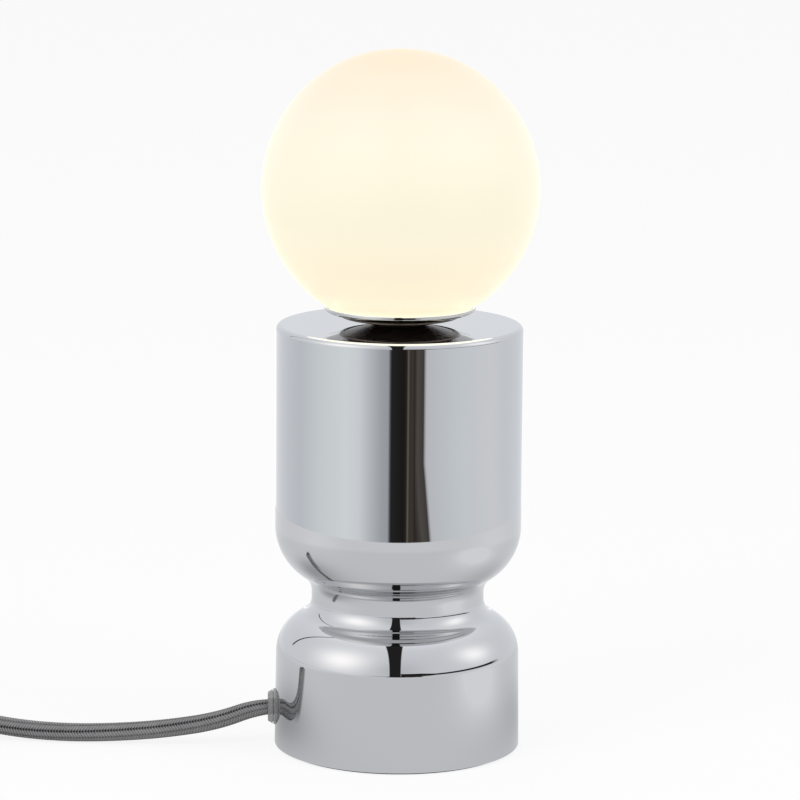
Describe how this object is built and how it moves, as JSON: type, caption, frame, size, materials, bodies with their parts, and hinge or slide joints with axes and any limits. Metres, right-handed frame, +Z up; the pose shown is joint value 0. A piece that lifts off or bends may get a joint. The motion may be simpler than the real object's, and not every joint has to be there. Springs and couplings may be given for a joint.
{
  "type": "table lamp",
  "caption": "Small table lamp: a mirror-polished turned body with a bell, waist and domed foot, an opal glass globe on a rimmed gallery, and a braided cord with switch and plug.",
  "frame": {"origin": "centre of the foot on the table, under the axis of the turned body", "axes": "+Z up along the body's axis, -Y towards the side seen in the picture, -X the side where the cord comes out"},
  "size_m": [0.3791, 0.105, 0.2565],
  "materials": {
    "polished_metal": "mirror polished and plated",
    "dark_metal": "polished dish in shade",
    "steel": "zinc plated steel",
    "brass": "plain brass",
    "iron": "painted casting",
    "felt": "dense black felt",
    "opal_glass": "satin opal glass",
    "gasket": "soft silicone",
    "clear_plastic": "clear moulded plastic",
    "ceramic": "glazed ceramic",
    "white_plastic": "moulded white plastic",
    "capsule": "frosted capsule",
    "braid": "grey braided textile",
    "brown_wire": "brown insulation",
    "blue_wire": "blue insulation",
    "grey_plastic": "moulded grey plastic",
    "tie_plastic": "woven hook strap"
  },
  "bodies": {
    "root": {"body_shell": "polished_metal", "base_plate": "steel", "base_screws": "steel", "felt_pad": "felt", "ballast_weight": "iron", "ballast_screws": "steel", "cord_bush": "clear_plastic", "cord_tail": "braid", "cord_grip": "white_plastic", "cord_grip_screws": "steel", "terminal_block": "white_plastic", "terminal_screws": "brass", "live_core": "brown_wire", "neutral_core": "blue_wire", "live_wire": "brown_wire", "neutral_wire": "blue_wire", "nipple": "steel", "nipple_washer": "steel", "nipple_nut_lower": "steel", "nipple_nut_upper": "steel", "globe_gallery": "dark_metal", "globe_gasket": "gasket", "globe_clips": "steel", "lampholder_bracket": "steel", "lampholder_body": "ceramic", "lampholder_screws": "steel", "lampholder_contacts": "brass", "switch_lower": "grey_plastic", "switch_upper": "grey_plastic", "switch_pivot_pin": "steel", "switch_screws": "steel", "cord_lead": "braid", "cord_link": "braid", "cord_coil": "braid", "cord_tie": "tie_plastic", "cord_end": "braid", "plug_body": "grey_plastic", "plug_pins": "brass"},
    "globe": {"globe_shade": "opal_glass"},
    "bulb": {"bulb_base": "white_plastic", "bulb_pins": "steel", "bulb_envelope": "capsule"},
    "rocker": {"switch_rocker": "grey_plastic"}
  },
  "joints": [
    {"name": "globe_lift", "type": "slide", "parent": "root", "child": "globe", "axis": [0, 0, 1], "range_m": [0, 0.01]},
    {"name": "bulb_pull", "type": "slide", "parent": "root", "child": "bulb", "axis": [0, 0, 1], "range_m": [0, 0.0098]},
    {"name": "rocker_tilt", "type": "hinge", "parent": "root", "child": "rocker", "pos_m": [-0.1941, -0.0166, 0.0112], "axis": [-0.4226, 0.9063, 0], "range_deg": [-20, 0]}
  ]
}
